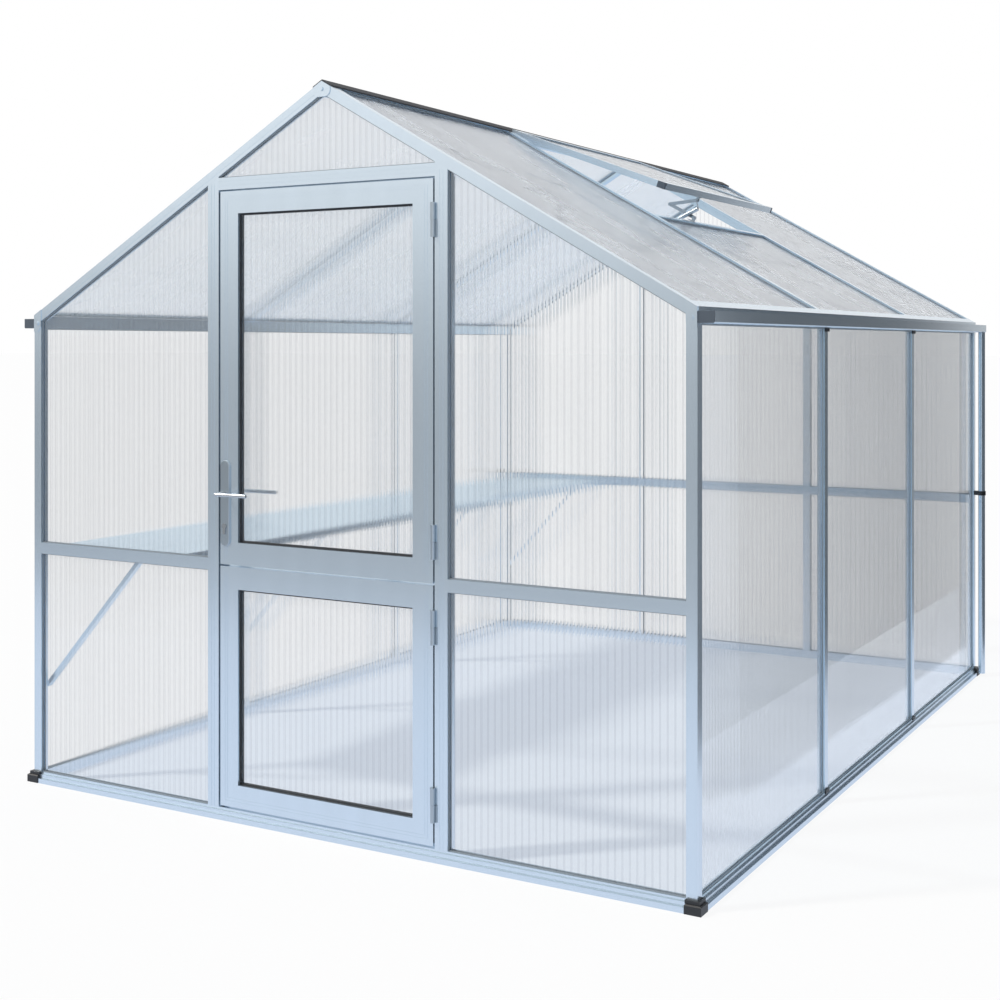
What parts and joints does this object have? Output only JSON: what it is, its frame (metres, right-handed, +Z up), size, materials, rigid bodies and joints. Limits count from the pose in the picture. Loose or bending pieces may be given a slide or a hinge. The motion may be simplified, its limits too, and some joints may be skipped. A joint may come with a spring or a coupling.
{
  "type": "aluminium garden greenhouse",
  "caption": "Walk-in garden greenhouse with an aluminium frame, twin-wall glazing, a split entrance door, a roof vent, gutters and a shelf inside.",
  "frame": {"origin": "on the ground under the middle of the whole house, handle and gutters included", "axes": "+X to the house's right seen from the entrance, +Y from the entrance gable to the back gable, +Z up"},
  "size_m": [2.433, 3.245, 2.2032],
  "materials": {
    "frame_aluminium": "satin anodised",
    "leaf_aluminium": "satin anodised",
    "twin_wall": "clear twin-wall sheet with fine upright flutes",
    "dark_moulding": "fine matt",
    "dark_ridge": "satin",
    "hardware_steel": "brushed"
  },
  "bodies": {
    "house": {"apex_plates": "frame_aluminium", "back_mid_rails": "frame_aluminium", "back_mullions": "frame_aluminium", "back_panes": "twin_wall", "corner_blocks": "dark_moulding", "corner_posts": "frame_aluminium", "door_header": "frame_aluminium", "door_posts": "frame_aluminium", "downpipes": "frame_aluminium", "eave_beams": "frame_aluminium", "eave_plates": "frame_aluminium", "front_mid_rails": "frame_aluminium", "front_panes": "twin_wall", "gable_sills": "frame_aluminium", "gutter_end_caps": "dark_moulding", "gutters": "frame_aluminium", "left_panes": "twin_wall", "left_roof_bars": "frame_aluminium", "left_roof_panes": "twin_wall", "left_verge_bars": "frame_aluminium", "mullion_caps": "dark_moulding", "pipe_clips": "dark_moulding", "post_hinge_halves": "hardware_steel", "ridge_beam": "frame_aluminium", "ridge_cap": "dark_ridge", "right_panes": "twin_wall", "right_roof_bars": "frame_aluminium", "right_roof_panes": "twin_wall", "right_verge_bars": "frame_aluminium", "shelf_bearers": "frame_aluminium", "shelf_rails": "frame_aluminium", "shelf_slats": "frame_aluminium", "shelf_struts": "frame_aluminium", "side_mullions": "frame_aluminium", "side_sills": "frame_aluminium", "vent_end_caps": "dark_moulding", "vent_frame": "frame_aluminium", "vent_opener_arms": "hardware_steel", "vent_opener_brackets": "hardware_steel", "vent_opener_cylinder": "hardware_steel", "vent_opener_pin": "hardware_steel", "vent_pane": "twin_wall", "vent_transom": "frame_aluminium"},
    "upper_leaf": {"upper_leaf_frame": "leaf_aluminium", "upper_leaf_pane": "twin_wall", "upper_leaf_hinge_halves": "hardware_steel", "handle_plates": "hardware_steel", "lock_cylinder": "hardware_steel"},
    "lower_leaf": {"lower_leaf_frame": "leaf_aluminium", "lower_leaf_pane": "twin_wall", "lower_leaf_hinge_halves": "hardware_steel"},
    "lever": {"lever_handles": "hardware_steel"}
  },
  "joints": [
    {"name": "upper_leaf_hinge", "type": "hinge", "parent": "house", "child": "upper_leaf", "pos_m": [0.384, -1.5653, 1.3], "axis": [0, 0, 1], "range_deg": [0, 110]},
    {"name": "lower_leaf_hinge", "type": "hinge", "parent": "house", "child": "lower_leaf", "pos_m": [0.384, -1.5653, 0.4], "axis": [0, 0, 1], "range_deg": [0, 110]},
    {"name": "lever_turn", "type": "hinge", "parent": "upper_leaf", "child": "lever", "pos_m": [-0.3585, -1.543, 0.9855], "axis": [0, 1, 0], "range_deg": [0, 40], "stiffness_Nm_per_rad": 0.6, "springref_deg": -20.05}
  ]
}
